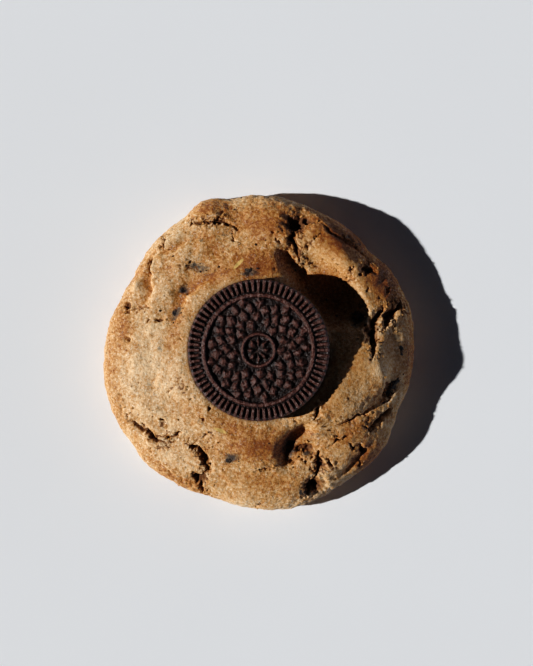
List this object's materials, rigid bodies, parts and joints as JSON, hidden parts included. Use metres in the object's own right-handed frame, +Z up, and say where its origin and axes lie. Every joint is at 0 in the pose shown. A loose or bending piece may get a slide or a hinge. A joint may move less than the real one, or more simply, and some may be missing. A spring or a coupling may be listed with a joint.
{
  "type": "baked cookie topped with a chocolate sandwich cookie",
  "caption": "Thick domed drop cookie with dark biscuit pieces in its cracked crust and a whole chocolate sandwich cookie with cream pressed into its top.",
  "frame": {"origin": "middle of the flat base, on the surface that the cookie lies on", "axes": "+Z up through the cookie, +X to the picture's right, +Y to the picture's top"},
  "size_m": [0.102, 0.1033, 0.03],
  "materials": {
    "baked_dough": "golden-brown baked crust, dull and finely cracked",
    "chocolate_wafer": "very dark cocoa biscuit, embossed, slightly satin",
    "cream": "off-white vanilla cream, matt",
    "biscuit_pieces": "broken dark cocoa biscuit, dull"
  },
  "bodies": {
    "root": {"baked_cookie": "baked_dough", "top_wafer": "chocolate_wafer", "cream_filling": "cream", "bottom_wafer": "chocolate_wafer", "biscuit_piece_right": "biscuit_pieces", "biscuit_piece_rim": "biscuit_pieces", "biscuit_piece_hollow": "biscuit_pieces", "biscuit_piece_back": "biscuit_pieces", "biscuit_piece_left": "biscuit_pieces", "biscuit_piece_upper_left": "biscuit_pieces", "biscuit_piece_front": "biscuit_pieces", "biscuit_piece_tear": "biscuit_pieces"}
  },
  "joints": []
}
